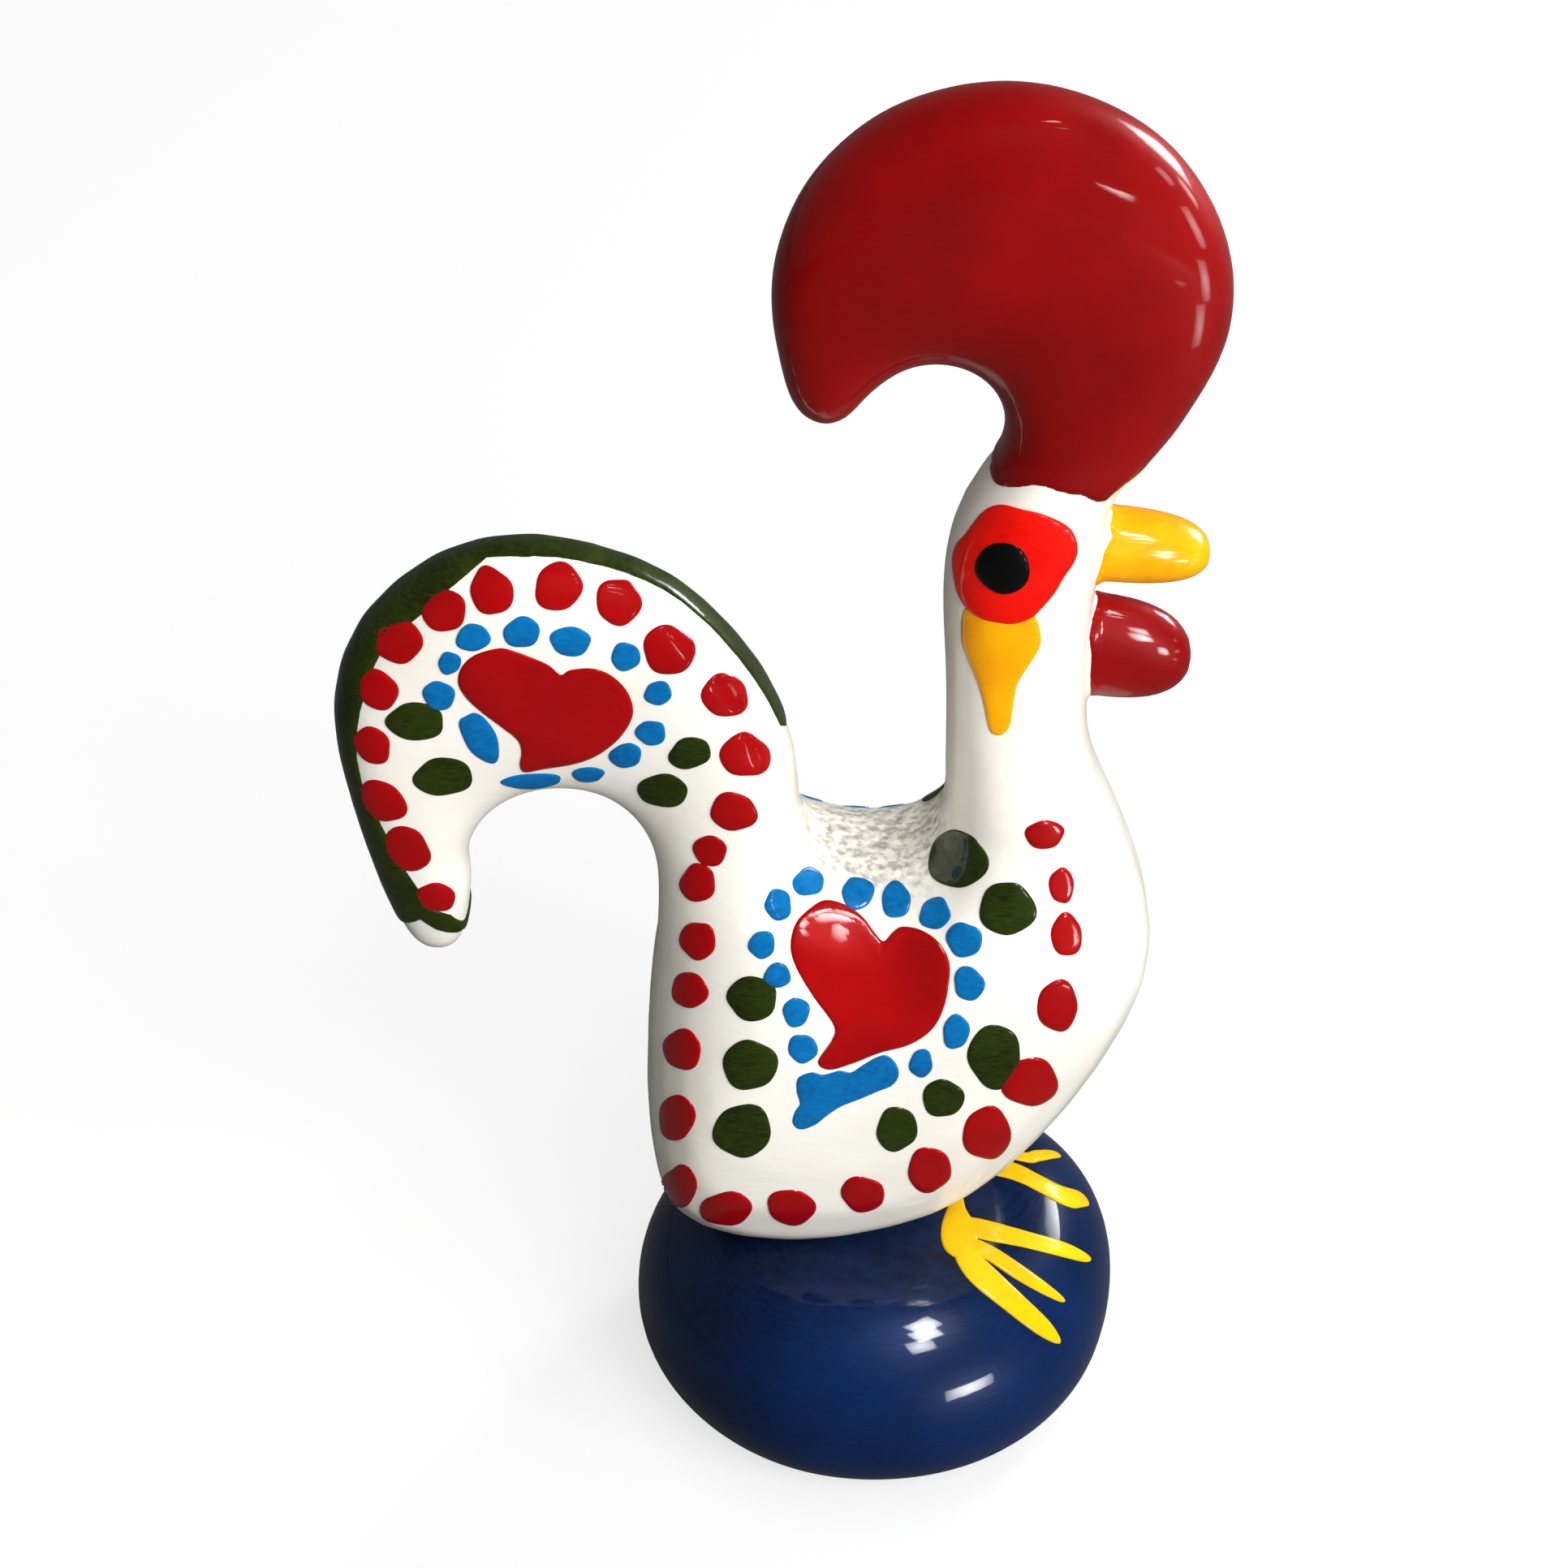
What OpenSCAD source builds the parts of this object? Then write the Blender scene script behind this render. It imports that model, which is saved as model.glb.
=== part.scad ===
// Painted clay rooster on a round base, a folk ornament.
// The bird faces +X, its right side faces -Y, and the base stands on Z = 0.
// The bird is one skin lofted between two edges: an inner edge that runs over the tail's back, the
// saddle and the nape, and an outer edge that runs round the hook, rump, belly, breast and throat.

/* [Base] */
// Widest diameter of the base
base_d = 33.6; // [32:0.2:40]
// Height of the base, from the table to its crown
base_h = 15.4; // [14.6:0.1:19]
// Radius of the rounding at the foot
foot_round = 6.7; // [5.5:0.1:7]
// Height of the upright flank between the foot's rounding and the shoulder's
flank_h = 0.25; // [0.1:0.05:1]
// Thickness of the base's wall
base_wall = 3; // [2.2:0.1:4]
// Width of the mouth underneath
mouth_d = 19; // [17:0.2:21]
// Vent hole between the hollow body and the hollow base
vent_d = 4; // [2.5:0.1:6]

/* [Body] */
// From the base's axis back to the rump
rump_reach = 15.6; // [14:0.1:18]
// From the base's axis forward to the breast
breast_reach = 18; // [16:0.1:21]
// From the base's crown up to the saddle
body_h = 31; // [28:0.2:36]
// Thickness of the body from side to side
body_thick = 21; // [18:0.2:26]
// Thickness of the pressed clay wall
shell_wall = 2.6; // [1.8:0.1:3.4]

/* [Neck and head] */
// Front to back of the neck under the head
neck_w = 9.3; // [8:0.1:11]
// Side to side of the neck and head
neck_thick = 9.6; // [8:0.1:12]
// From the base's axis forward to the nape
nape_x = 3.6; // [3:0.1:5]
// From the saddle up to the top of the head
neck_rise = 29; // [25:0.2:34]

/* [Tail] */
// Radius of the tail's outer sweep
tail_r = 13; // [12:0.1:14.5]
// Radius inside the tail's hook
hook_r = 6.3; // [5:0.1:7]
// Thickness of the tail from side to side
tail_thick = 7.6; // [6:0.1:10]
// From the hook's centre up to the centre of the outer sweep
tail_lift = 11.6; // [10.6:0.1:13]

/* [Comb] */
// Radius of the comb's round sweep
comb_r = 13.7; // [12.5:0.1:15]
// Radius of the notch behind the comb's stem
notch_r = 4.6; // [4:0.1:5.2]
// Thickness of the comb
comb_thick = 8; // [6.5:0.1:10]
// From the top of the head up to the centre of the comb
comb_lift = 11; // [10.6:0.1:12.6]

/* [Beak and wattle] */
// Length of the beak
beak_len = 6.6; // [5:0.1:9]
// Height of the beak at its root
beak_h = 5.1; // [4:0.1:6]
// Width of the beak at its root
beak_w = 4.8; // [4:0.1:6]
// Length of the wattle, forward of the throat
wattle_len = 6.4; // [5:0.1:7.4]
// Height of the wattle at its root
wattle_h = 8; // [6:0.1:8.6]
// Thickness of the wattle
wattle_thick = 4; // [3:0.1:5]

/* [Enamel] */
// Height that an enamel mark stands above the clay
enamel = 0.3; // [0.2:0.05:0.5]
// Diameter of the red dots
red_dot_d = 2.9; // [2:0.1:3.1]
// Diameter of the green dots
green_dot_d = 3.5; // [2.4:0.1:3.7]
// Diameter of the blue dots round the hearts
blue_dot_d = 2; // [1.4:0.1:2.3]
// Width of the heart on the body
body_heart_w = 11.8; // [9:0.1:12]
// Width of the heart on the tail
tail_heart_w = 11; // [8:0.1:11.2]
// Height of the patch round the eye
eye_patch_h = 8.3; // [7:0.1:8.8]
// Width of the patch round the eye
eye_patch_w = 7.4; // [6.4:0.1:7.8]
// Diameter of the pupil
pupil_d = 3.3; // [2.4:0.1:3.6]
// Length of the ear lobe under the patch
lobe_len = 7.6; // [6:0.1:9]
// Width of the ear lobe
lobe_w = 4.6; // [3.6:0.1:5.2]
// Length of the painted feet's toes
toe_len = 9.8; // [7:0.1:10.4]
// Width of a toe near its tip
toe_w = 1.4; // [0.8:0.1:1.6]

/* [Hidden] */

$fn = 72;
ivory = "#f4efe2";
red = "#b30c18";
orange = "#e8330c";
green = "#30470f";
blue = "#0a78bd";
navy = "#0b234e";
yellow = "#f4bd12";

// Shape of every section: 2 is an ellipse, more is flatter sides with rounder edges
section_power = 2.6;
// Steps round one side of a section
side_steps = 12;
// Thickness of an enamel mark at its edge, as a share of its middle
edge_share = 0.6;
// The foot's rounding is cut off this far up, so that the base stands on a flat ring
foot_flat = 0.35;
base_r = base_d / 2;
shoulder_round = base_h + foot_flat - foot_round - flank_h;
crown_z = base_h;
saddle_z = crown_z + body_h;
head_z = saddle_z + neck_rise;
tail_half = tail_thick / 2;
body_half = body_thick / 2;
neck_half = neck_thick / 2;
comb_half = comb_thick / 2;
throat_x = nape_x + neck_w;

function arc(centre, radius, angle) = centre + radius * [cos(angle), sin(angle)];
function unit(v) = v / norm(v);
function between(a, b, share) = a + (b - a) * share;

// A station is one section's inner edge [x, z], its outer edge [x, z] and its half thickness.
function station(inner, outer, half) = [inner[0], inner[1], outer[0], outer[1], half];

hook_centre = [-0.936 * rump_reach - hook_r, crown_z + 0.945 * body_h];
sweep_centre = hook_centre + [-0.19 * hook_r, tail_lift];
tail_tip = hook_centre + hook_r * [-1.38, -1.127];
saddle_back = [-0.32 * rump_reach, saddle_z];

tail_stations = [
  station(tail_tip + [-0.7, -0.1], tail_tip + [0.7, -0.1], 0.22 * tail_half),
  station(tail_tip + [-1.9, 1.4], tail_tip + [1.9, 1], 0.55 * tail_half),
  station(tail_tip + [-3.4, 6], arc(hook_centre, hook_r, 195), 0.82 * tail_half),
  station(arc(sweep_centre, tail_r * 1.03, 203), arc(hook_centre, hook_r, 172), 0.92 * tail_half),
  for (k = [0:4])
    station(arc(sweep_centre, tail_r, 176 - 29 * k), arc(hook_centre, hook_r, 148 - 21.5 * k), tail_half),
  station(arc(sweep_centre, tail_r * 1.02, 36), arc(hook_centre, hook_r, 40), 1.1 * tail_half),
  station(arc(sweep_centre, tail_r * 1.12, 10), arc(hook_centre, hook_r, 15),
    between(tail_half, body_half, 0.18)),
  station(saddle_back + [-0.7, 6.6], hook_centre + [hook_r, -1.8], between(tail_half, body_half, 0.32)),
  station(saddle_back + [-0.3, 2], [0.7 - rump_reach, saddle_z - 8.2], between(tail_half, body_half, 0.56))
];

body_stations = [
  station(saddle_back + [0.5, 0.1], [-rump_reach, crown_z + 0.54 * body_h], 0.88 * body_half),
  station([-3.3, saddle_z - 0.1], [-rump_reach, crown_z + 0.25 * body_h], 0.99 * body_half),
  station([-2, saddle_z - 0.3], [1.2 - rump_reach, crown_z + 0.06 * body_h], body_half),
  station([-0.8, saddle_z - 0.4], [-0.62 * rump_reach, crown_z - 0.6], body_half),
  station([0.3, saddle_z - 0.4], [-0.16 * rump_reach, crown_z - 0.6], body_half),
  station([1.4, saddle_z - 0.3], [0.22 * breast_reach, crown_z + 1.4], body_half),
  station([2.3, saddle_z - 0.1], [0.49 * breast_reach, crown_z + 0.18 * body_h], body_half),
  station([3, saddle_z + 0.1], [0.74 * breast_reach, crown_z + 0.38 * body_h], 0.98 * body_half),
  station([3.5, saddle_z + 0.6], [0.94 * breast_reach, crown_z + 0.61 * body_h], 0.92 * body_half),
  station([3.9, saddle_z + 1.8], [breast_reach, crown_z + 0.79 * body_h], 0.8 * body_half),
  station([nape_x + 0.5, saddle_z + 4.6], [0.91 * breast_reach, saddle_z], 0.66 * body_half)
];

neck_stations = [
  station([nape_x + 0.4, saddle_z + 10.4], [throat_x + 1, saddle_z + 6.2],
    between(neck_half, body_half, 0.16)),
  station([nape_x + 0.2, saddle_z + 0.5 * neck_rise], [throat_x + 0.1, saddle_z + 0.39 * neck_rise],
    1.02 * neck_half),
  station([nape_x, saddle_z + 0.68 * neck_rise], [throat_x + 0.1, saddle_z + 0.62 * neck_rise], neck_half),
  station([nape_x + 0.4, head_z - 5.2], [throat_x + 0.6, head_z - 5.6], neck_half),
  station([nape_x + 1.8, head_z - 2], [throat_x + 1, head_z - 2.4], 0.95 * neck_half),
  station([nape_x + 3.2, head_z], [throat_x + 2, head_z - 0.6], 0.9 * neck_half)
];

bird = concat(tail_stations, body_stations, neck_stations);
root = len(tail_stations) - 1;
collar = root + len(body_stations);
head = len(bird) - 1;

comb_centre = [nape_x + 3, head_z + comb_lift];
notch_centre = [nape_x - 0.9, head_z + 2.6];
comb_tip = notch_centre + notch_r * [-1.54, 0.04];

crest = [
  bird[head],
  station([nape_x + 3.65, head_z + 1.8], [throat_x + 4, head_z + 1.9], 0.98 * comb_half),
  station(arc(notch_centre, notch_r, 12), arc(comb_centre, 0.99 * comb_r, -33), comb_half),
  for (k = [0:5])
    station(arc(notch_centre, notch_r, 38 + 17 * k), arc(comb_centre, comb_r, 26 * k - 9), comb_half),
  station(arc(notch_centre, notch_r, 140), arc(comb_centre, comb_r, 148), 0.97 * comb_half),
  station(comb_tip + [2.9, 2.2], arc(comb_centre, comb_r, 174), 0.9 * comb_half),
  station(comb_tip + [2.1, 1], arc(comb_centre, comb_r, 199), 0.78 * comb_half),
  station(comb_tip + [1.3, 0.3], comb_tip + [-1.5, 1.6], 0.5 * comb_half),
  station(comb_tip + [0.5, 0], comb_tip + [-0.5, 0.2], 0.2 * comb_half)
];

// The base's axis stands here, so that the whole rooster is centred on X = 0.
front_x = max(comb_centre[0] + comb_r, throat_x + 0.4 + beak_len);
stand_x = -(front_x + sweep_centre[0] - 1.02 * tail_r) / 2;
module on_stand() {
  translate([stand_x, 0, 0]) children();
}
module mirrored() {
  mirror([0, 1, 0]) children();
}

// Catmull-Rom spline through the stations, at station number u
function spline(a, b, c, d, t) =
  0.5 * (2 * b + (c - a) * t + (2 * a - 5 * b + 4 * c - d) * t * t + (3 * b - a - 3 * c + d) * t * t * t);
function station_at(list, u) =
  let (last = len(list) - 1, i = max(0, min(floor(u), last - 1)))
  spline(list[max(i - 1, 0)], list[i], list[i + 1], list[min(i + 2, last)], u - i);

// Height of the base's top surface, this far from its axis
shoulder_centre = [base_r - shoulder_round, base_h - shoulder_round];
function base_top(r) =
  r < shoulder_centre[0] ? base_h :
  r < base_r ? shoulder_centre[1] + sqrt(pow(shoulder_round, 2) - pow(r - shoulder_centre[0], 2)) : 0;

// Point of a section. Angle -90 is the inner edge, 0 the right side, 90 the outer edge, 180 the left side.
// Where the belly would dip into the base, the soft clay is pressed down on the base's top.
function section_point(s, angle, inset = 0) =
  let (
    inner = [s[0], s[1]],
    outer = [s[2], s[3]],
    power = section_power,
    squareness = pow(pow(abs(cos(angle)), power) + pow(abs(sin(angle)), power), -1 / power),
    across = (norm(outer - inner) / 2 - inset) * sin(angle) * squareness,
    side = (s[4] - inset) * cos(angle) * squareness,
    spot = (inner + outer) / 2 + across * unit(outer - inner)
  )
  [spot[0], -side, max(spot[1], base_top(norm([spot[0], side])) + inset)];

function quads(rings, around) = [
  for (r = [0:rings - 2], k = [0:around - 1])
    let (a = r * around + k, b = r * around + (k + 1) % around, c = a + around, d = b + around)
    each [[a, d, b], [a, c, d]]
];

// Solid form through the sections from station a to station b
module lofted(list, a, b, fine = 2) {
  rings = (b - a) * fine + 1;
  around = 2 * side_steps;
  points = [
    for (r = [0:rings - 1], k = [0:around - 1])
      section_point(station_at(list, a + r / fine), -90 + 180 * k / side_steps)
  ];
  first = [for (k = [0:around - 1]) k];
  last = [for (k = [around - 1:-1:0]) (rings - 1) * around + k];
  polyhedron(points, concat([first], quads(rings, around), [last]), convexity = 6);
}

// Right half of a hollow form: each section is a C, open at the seam plane
module half_shell(list, a, b, fine = 2) {
  rings = (b - a) * fine + 1;
  around = 2 * (side_steps + 1);
  points = [
    for (r = [0:rings - 1])
      let (s = station_at(list, a + r / fine))
      each [
        for (k = [0:side_steps]) section_point(s, -90 + 180 * k / side_steps),
        for (k = [side_steps:-1:0]) section_point(s, -90 + 180 * k / side_steps, shell_wall)
      ]
  ];
  last = (rings - 1) * around;
  rims = [
    for (k = [0:side_steps - 1])
      let (p = k, q = k + 1, r = around - 2 - k, s = around - 1 - k)
      each [[p, q, r], [p, r, s], [last + p, last + r, last + q], [last + p, last + s, last + r]]
  ];
  polyhedron(points, concat(rims, quads(rings, around)), convexity = 8);
}

// A surface is a function of two numbers that gives a point. These are the bird's and the base's.
bird_skin = function (u, angle) section_point(station_at(bird, u), angle);
base_skin = function (turn, angle)
  let (p = arc(shoulder_centre, shoulder_round, angle))
  [p[0] * cos(turn), -p[0] * sin(turn), p[1]];

function along(skin, at, step) = (skin(at[0] + step, at[1]) - skin(at[0] - step, at[1])) / (2 * step);
function around(skin, at, step) = (skin(at[0], at[1] + step) - skin(at[0], at[1] - step)) / (2 * step);
function normal(skin, at) = unit(cross(around(skin, at, 1), along(skin, at, 0.05)));
function lifted(skin, at, lift) = skin(at[0], at[1]) + lift * normal(skin, at);

// Walks from a place on a skin by a step [ahead, up] in millimetres, in a few strides
function walk(skin, at, step, strides = 3) =
  strides == 0 ? at :
  let (
    da = along(skin, at, 0.05),
    db = around(skin, at, 1),
    n = unit(cross(db, da)),
    up = unit([0, 0, 1] - n[2] * n),
    goal = (step[0] * cross(up, n) + step[1] * up) / strides,
    aa = da * da,
    ab = da * db,
    bb = db * db,
    det = aa * bb - ab * ab,
    to = at + [(goal * da) * bb - (goal * db) * ab, (goal * db) * aa - (goal * da) * ab] / det
  )
  walk(skin, to, step * (strides - 1) / strides, strides - 1);

// Outlines are lists of steps from the middle of a mark
function oval(wide, tall, count = 8) = [
  for (k = [0:count - 1]) [wide / 2 * cos(360 * k / count), tall / 2 * sin(360 * k / count)]
];
function turned(outline, angle) = [
  for (p = outline) [p[0] * cos(angle) - p[1] * sin(angle), p[0] * sin(angle) + p[1] * cos(angle)]
];
function heart(wide, count = 24) = [
  for (k = [0:count - 1])
    let (t = 360 * k / count)
    -wide / 32 * [16 * pow(sin(t), 3), -13 * cos(t) + 5 * cos(2 * t) + 2 * cos(3 * t) + cos(4 * t) - 1.5]
];

// Faces of a fan from the middle, and of the rings of triangles round it
function sheet(count, rings) = concat(
  [for (k = [0:count - 1]) [rings * count, (k + 1) % count, k]],
  [
    for (r = [0:1:rings - 2], k = [0:count - 1])
      let (a = r * count + k, b = r * count + (k + 1) % count, c = a + count, d = b + count)
      each [[a, d, c], [a, b, d]]
  ]
);
function flipped(faces, shift = 0) = [for (f = faces) [f[0] + shift, f[2] + shift, f[1] + shift]];
function shifted(faces, shift) = [for (f = faces) [f[0] + shift, f[1] + shift, f[2] + shift]];

// An enamel mark: a low dome with the outline given, whose underside is the skin it is painted on
module enamel_mark(skin, at, outline, rings = 1, under = 0) {
  count = len(outline);
  size = rings * count + 1;
  spots = [
    for (r = [1:rings], k = [0:count - 1]) walk(skin, at, outline[k] * r / rings),
    at
  ];
  shares = [for (r = [1:rings], k = [0:count - 1]) r / rings, 0];
  rim = size - 1 - count;
  wall = [
    for (k = [0:count - 1])
      let (a = rim + k, b = rim + (k + 1) % count)
      each [[a, b + size, b], [a, a + size, b + size]]
  ];
  polyhedron(
    concat(
      [for (s = spots) lifted(skin, s, under)],
      [
        for (k = [0:size - 1])
          lifted(skin, spots[k], under + enamel * between(1, edge_share, pow(shares[k], 2)))
      ]
    ),
    concat(flipped(sheet(count, rings)), shifted(sheet(count, rings), size), wall),
    convexity = 4
  );
}

// Round dots shared out evenly over a row of places, or over a closed ring of them
module dots(skin, places, count, d, closed = false) {
  path = closed ? concat(places, [places[0]]) : places;
  gaps = closed ? count : count - 1;
  for (k = [0:count - 1])
    enamel_mark(skin, station_at(path, k * (len(path) - 1) / gaps), oval(d, d));
}

// A bud of clay pressed on a skin: the root's outline narrows to a tip, by the power given
module bud(skin, at, outline, reach, fullness, steps = 6) {
  count = len(outline);
  middle = skin(at[0], at[1]);
  rim = [for (p = outline) let (s = walk(skin, at, p)) skin(s[0], s[1])];
  half = [for (p = outline) let (s = walk(skin, at, p / 2)) skin(s[0], s[1])];
  rows = [
    half,
    rim,
    for (k = [1:steps - 1])
      let (t = k / steps, size = pow(1 - pow(t, fullness[0]), fullness[1]))
      [for (p = rim) middle + size * (p - middle) + t * reach]
  ];
  tip = (steps + 1) * count;
  polyhedron(
    concat([for (row = rows) each row], [middle + reach, middle]),
    concat(
      quads(steps + 1, count),
      [for (k = [0:count - 1]) [tip, tip - count + (k + 1) % count, tip - count + k]],
      [for (k = [0:count - 1]) [tip + 1, k, (k + 1) % count]]
    ),
    convexity = 4
  );
}

// Hollow round base, turned from one profile: outside from the foot up, then inside back down
module base_bell() {
  foot_centre = [base_r - foot_round, foot_round - foot_flat];
  foot_start = -asin(1 - foot_flat / foot_round);
  mouth_r = mouth_d / 2;
  inner_foot = foot_round - base_wall;
  mouth_angle = -acos(max(0, (mouth_r - foot_centre[0]) / inner_foot));
  profile = concat(
    [[mouth_r, 0]],
    [for (k = [0:8]) arc(foot_centre, foot_round, between(foot_start, 0, k / 8))],
    [for (k = [0:10]) arc(shoulder_centre, shoulder_round, 9 * k)],
    [[vent_d / 2, base_h], [vent_d / 2, base_h - base_wall]],
    [for (k = [0:8]) arc(shoulder_centre, shoulder_round - base_wall, 90 - 11.25 * k)],
    [for (k = [0:6]) arc(foot_centre, inner_foot, between(0, mouth_angle, k / 6))],
    mouth_angle > -90 ? [] : [[mouth_r, foot_centre[1] - inner_foot]]
  );
  on_stand() color(navy) rotate_extrude() polygon(profile);
}

module right_shell() {
  difference() {
    half_shell(bird, root, collar);
    translate([0, 0, crown_z - 1]) cylinder(d = vent_d, h = shell_wall + 2);
  }
}
module body_right_shell() {
  on_stand() color(ivory) right_shell();
}
module body_left_shell() {
  on_stand() mirrored() color(ivory) right_shell();
}

module neck_and_head() {
  on_stand() color(ivory) lofted(bird, collar, head);
}

module tail() {
  on_stand() color(ivory) lofted(bird, 0, root);
}

module comb() {
  on_stand() color(red) lofted(crest, 0, len(crest) - 1, 3);
}

beak_at = [head - 2.15, 90];
module beak() {
  on_stand() color(yellow)
    bud(bird_skin, beak_at, oval(beak_w, beak_h, 12), [beak_len, 0, -0.7], [2.2, 0.55]);
}

wattle_at = [head - 3.45, 90];
module wattle() {
  on_stand() color(red)
    bud(bird_skin, wattle_at, oval(wattle_thick, wattle_h, 12), [wattle_len, 0, -1], [3, 0.5]);
}

// Green band painted over the tail's outer edge, from the tip to the saddle
module tail_edge_band() {
  from = 0.5;
  to = 9;
  fine = 2;
  rings = (to - from) * fine + 1;
  steps = 6;
  row = 2 * (steps + 1);
  function place(u, k) = [u, -90 + between(36, 8, (u - from) / (to - from)) * (2 * k / steps - 1)];
  points = [
    for (r = [0:rings - 1])
      let (u = from + r / fine)
      each [
        for (k = [0:steps]) lifted(bird_skin, place(u, k), 0),
        for (k = [steps:-1:0])
          lifted(bird_skin, place(u, k), enamel * (k % steps == 0 ? edge_share : 1))
      ]
  ];
  first = [for (k = [row - 1:-1:0]) k];
  last = [for (k = [0:row - 1]) (rings - 1) * row + k];
  on_stand() color(green)
    polyhedron(points, concat([first], flipped(quads(rings, row)), [last]), convexity = 6);
}

eye_at = [head - 1.8, -14];
module eye_patch_right() {
  on_stand() color(orange) enamel_mark(bird_skin, eye_at, oval(eye_patch_w, eye_patch_h, 16), 2);
}
module eye_patch_left() {
  mirrored() eye_patch_right();
}
module pupil_right() {
  pupil_at = walk(bird_skin, eye_at, [-0.5, 0]);
  on_stand() color("black") enamel_mark(bird_skin, pupil_at, oval(pupil_d, pupil_d, 12), 1, enamel);
}
module pupil_left() {
  mirrored() pupil_right();
}

// Drop-shaped lobe that hangs from just under the eye patch
module ear_lobe_right() {
  lobe_at = walk(bird_skin, eye_at, [-0.8, -0.5 * (eye_patch_h + lobe_len) - 0.1]);
  drop = [
    for (k = [0:15])
      let (t = 22.5 * k, narrowing = pow(max(0, (1 + sin(t)) / 2), 0.6))
      [0.68 * lobe_w * cos(t) * narrowing, lobe_len / 2 * sin(t)]
  ];
  on_stand() color(yellow) enamel_mark(bird_skin, lobe_at, drop, 2);
}
module ear_lobe_left() {
  mirrored() ear_lobe_right();
}

body_heart_at = [root + 4.33, -38];
body_heart_turn = -25;
tail_heart_at = [6.8, 7.6];
tail_heart_turn = -19;
module body_heart_right() {
  on_stand() color(red)
    enamel_mark(bird_skin, body_heart_at, turned(heart(body_heart_w), body_heart_turn), 3);
}
module body_heart_left() {
  mirrored() body_heart_right();
}
module tail_heart_right() {
  on_stand() color(red)
    enamel_mark(bird_skin, tail_heart_at, turned(heart(tail_heart_w), tail_heart_turn), 3);
}
module tail_heart_left() {
  mirrored() tail_heart_right();
}

module body_blue_dots_right() {
  ring = [
    [root + 3.1, -65], [root + 0.8, -58], [root + 0.3, -32], [root + 1.1, -27], [root + 2.3, -27],
    [root + 3.4, -20], [root + 4.2, -10], [root + 5, -10], [root + 5.9, -14], [root + 6.9, -18],
    [root + 7.9, -25], [root + 8.6, -35], [root + 8, -52], [root + 5.5, -63]
  ];
  on_stand() color(blue) dots(bird_skin, ring, 14, blue_dot_d, true);
}
module body_blue_dots_left() {
  mirrored() body_blue_dots_right();
}
module tail_blue_dots_right() {
  ring = [[6.8, -31], [7.6, -27], [8.4, -22], [8.4, 10], [7.2, 42], [5.9, 30], [5.6, -3], [6, -28]];
  on_stand() color(blue) dots(bird_skin, ring, 12, blue_dot_d, true);
}
module tail_blue_dots_left() {
  mirrored() tail_blue_dots_right();
}

module body_red_dots_right() {
  places = [
    [root - 0.38, 22.5], [root + 1.2, 31.5], [root + 2.5, 37.7], [root + 4.46, 27.6],
    [root + 6.18, 22.9], [root + 7.95, 18.7], [root + 9.74, 9.5], [root + 11.5, 8.2]
  ];
  on_stand() color(red) dots(bird_skin, places, 15, red_dot_d);
}
module body_red_dots_left() {
  mirrored() body_red_dots_right();
}
module tail_red_dots_right() {
  places = [
    [2.14, 17.4], [3.56, -15.4], [4.85, -36.4], [6.15, -47.7],
    [7.51, -50.6], [8.95, -42.5], [10.2, -28.4], [10.82, 21.2]
  ];
  on_stand() color(red) dots(bird_skin, places, 16, red_dot_d);
}
module tail_red_dots_left() {
  mirrored() tail_red_dots_right();
}

// Each dot's station number from the tail's root, its angle, and its share of the diameter
module body_green_dots_right() {
  places = [
    [0.95, -10, 0.8], [2.15, -6, 0.95], [3, 8, 1], [5.6, 3, 0.75],
    [6.5, -1, 0.75], [7.8, -1, 1], [10.2, -23, 1], [10.3, -53, 1]
  ];
  on_stand() color(green)
    for (p = places)
      enamel_mark(bird_skin, [root + p[0], p[1]], p[2] * oval(green_dot_d, green_dot_d));
}
module body_green_dots_left() {
  mirrored() body_green_dots_right();
}
module tail_green_dots_right() {
  on_stand() color(green)
    for (place = [[5.1, -13], [4.8, 17], [9.4, -9], [9.2, 19]])
      enamel_mark(bird_skin, place, oval(0.9 * green_dot_d, 0.8 * green_dot_d));
}
module tail_green_dots_left() {
  mirrored() tail_green_dots_right();
}

// A foot is three tapered toes and a heel, painted down the base's shoulder from under the belly.
// Each is given by its direction, its share of the toe length, and how deep the web after it goes.
module painted_foot_right() {
  foot_at = [44, 79.5];
  toes = [[-88, 0.86, 0.32], [-70, 0.76, 0.28], [-50, 0.98, 0.12], [98, 0.36, 0.14]];
  function polar(r, angle) = r * [cos(angle), sin(angle)];
  outline = [
    for (k = [0:3])
      let (
        toe = toes[k],
        next = k < 3 ? toes[k + 1][0] : toes[0][0] + 360,
        reach = toe[1] * toe_len,
        spread = asin(toe_w / 2 / (reach - 0.6))
      )
      each [
        polar(reach - 0.6, toe[0] - spread), polar(reach, toe[0]), polar(reach - 0.6, toe[0] + spread),
        polar(toe[2] * toe_len, (toe[0] + next) / 2)
      ]
  ];
  on_stand() color(yellow) enamel_mark(base_skin, foot_at, outline, 5);
}
module painted_foot_left() {
  mirrored() painted_foot_right();
}

base_bell();
body_right_shell();
body_left_shell();
neck_and_head();
tail();
comb();
beak();
wattle();
tail_edge_band();
eye_patch_right();
eye_patch_left();
pupil_right();
pupil_left();
ear_lobe_right();
ear_lobe_left();
body_heart_right();
body_heart_left();
tail_heart_right();
tail_heart_left();
body_blue_dots_right();
body_blue_dots_left();
tail_blue_dots_right();
tail_blue_dots_left();
body_red_dots_right();
body_red_dots_left();
tail_red_dots_right();
tail_red_dots_left();
body_green_dots_right();
body_green_dots_left();
tail_green_dots_right();
tail_green_dots_left();
painted_foot_right();
painted_foot_left();
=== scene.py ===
import math
import random

import bpy
import numpy as np
from mathutils import Matrix, Vector, noise
from mathutils.bvhtree import BVHTree


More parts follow.
